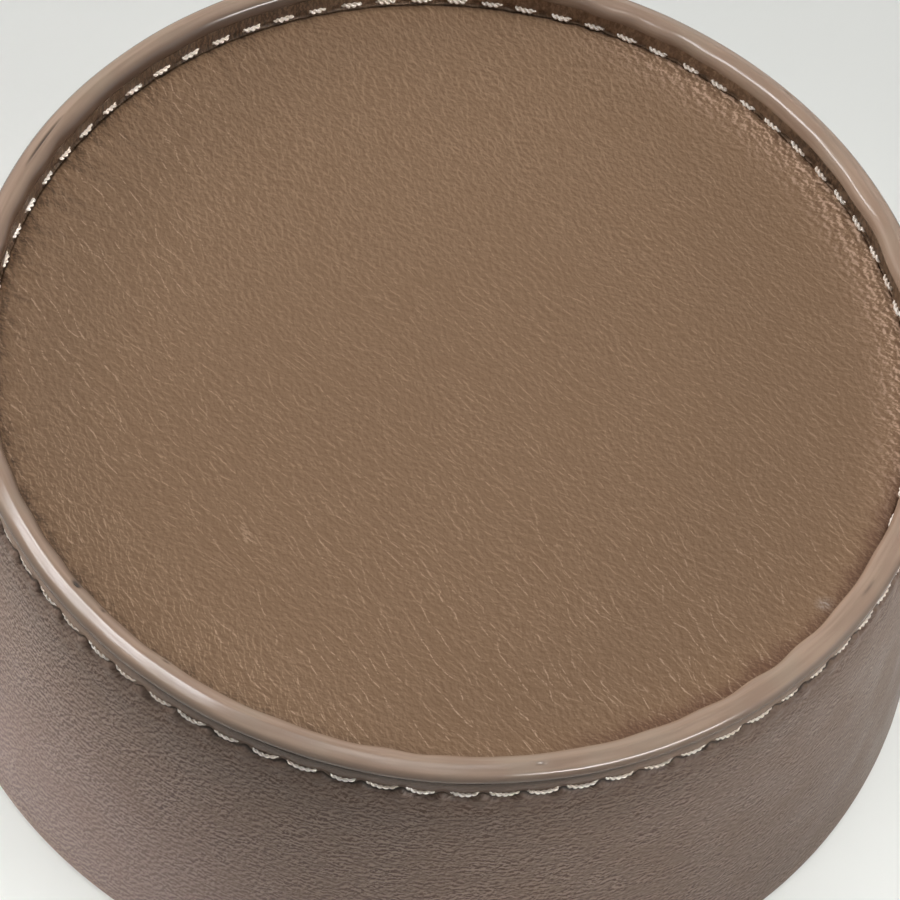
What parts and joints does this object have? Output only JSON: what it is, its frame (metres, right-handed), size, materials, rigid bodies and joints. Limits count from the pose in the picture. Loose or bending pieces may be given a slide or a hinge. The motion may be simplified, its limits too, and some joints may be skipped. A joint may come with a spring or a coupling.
{
  "type": "leather dice cup",
  "caption": "Low round leather dice cup standing on its mouth, with a recessed base disc stitched inside a coated rim, a stiffened flared wall and a lined inside.",
  "frame": {"origin": "middle of the mouth's plane, which the cup stands on in this pose", "axes": "+Z along the cup's axis, from the mouth to the base; the cup is round, so X and Y are free"},
  "size_m": [0.0954, 0.0954, 0.038],
  "materials": {
    "wall_leather": "satin, fine pebble grain",
    "base_leather": "satin, fine grain with pale creases",
    "edge_coat": "glossy edge paint",
    "lining": "napped, matt",
    "fibreboard": "bare, matt",
    "thread": "two-ply, waxed"
  },
  "bodies": {
    "root": {"outer_wall": "wall_leather", "wall_stiffener": "fibreboard", "wall_lining": "lining", "base_cover": "base_leather", "base_board": "fibreboard", "base_lining": "lining", "rim_edge_coat": "edge_coat", "seam_thread_outer": "thread", "seam_thread_inner": "thread"}
  },
  "joints": []
}
